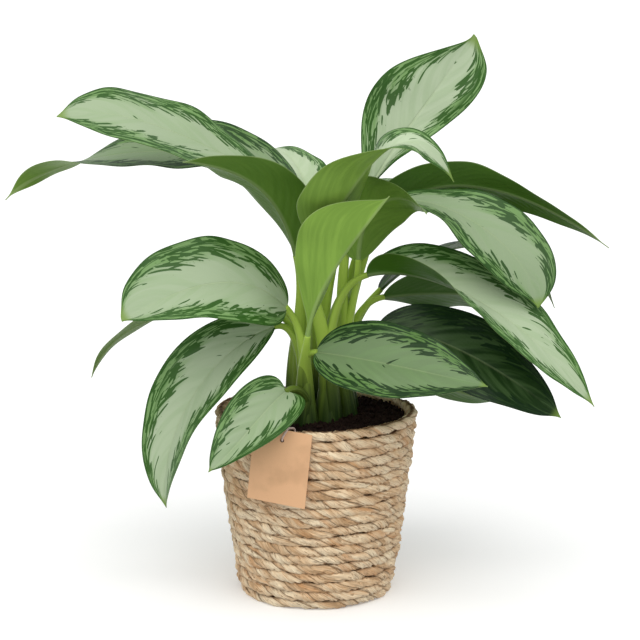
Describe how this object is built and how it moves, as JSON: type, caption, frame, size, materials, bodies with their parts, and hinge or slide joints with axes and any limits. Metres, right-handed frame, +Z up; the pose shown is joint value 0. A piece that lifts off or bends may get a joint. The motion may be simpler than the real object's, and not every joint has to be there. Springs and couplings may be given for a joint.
{
  "type": "potted chinese evergreen",
  "caption": "Leafy potted house plant with broad silver-green leaves on upright stalks, standing in a tapered coiled-rope basket with a blank card tag.",
  "frame": {"origin": "centre of the basket's underside, on the surface it stands on", "axes": "+Z up; +X to the right of someone facing the tag, along the plant's widest spread; -Y towards the front, where the tag hangs"},
  "size_m": [0.6008, 0.3603, 0.5463],
  "materials": {
    "leaf": "satin waxy leaf, silver-green with darker green dashes towards the edge",
    "stalk": "smooth green stalks",
    "seagrass": "coiled twisted seagrass rope, matte straw colour",
    "liner_film": "thin black plastic",
    "potting_soil": "dark crumbly soil",
    "kraft_card": "uncoated brown card",
    "twine": "pale twisted twine"
  },
  "bodies": {
    "root": {"basket": "seagrass", "liner": "liner_film", "soil": "potting_soil", "tag": "kraft_card", "tag_twine": "twine", "shoot_1": "stalk", "shoot_2": "stalk", "shoot_3": "stalk", "shoot_4": "stalk", "shoot_5": "stalk", "shoot_6": "stalk", "leaf_left_top": "leaf", "leaf_left_far": "leaf", "leaf_left_under": "leaf", "leaf_back_left": "leaf", "leaf_top": "leaf", "leaf_crown_front": "leaf", "leaf_right_dark": "leaf", "leaf_right_silver": "leaf", "leaf_right_under": "leaf", "leaf_right_big": "leaf", "leaf_right_low_back": "leaf", "leaf_right_back": "leaf", "leaf_right_low": "leaf", "leaf_front_right": "leaf", "leaf_right_low_under": "leaf", "leaf_left_mid": "leaf", "leaf_left_mid_under": "leaf", "leaf_left_low": "leaf", "leaf_left_small": "leaf", "leaf_front_young": "leaf", "leaf_back_up": "leaf", "leaf_back_low_left": "leaf", "leaf_back_low_right": "leaf", "leaf_back_mid": "leaf"}
  },
  "joints": []
}
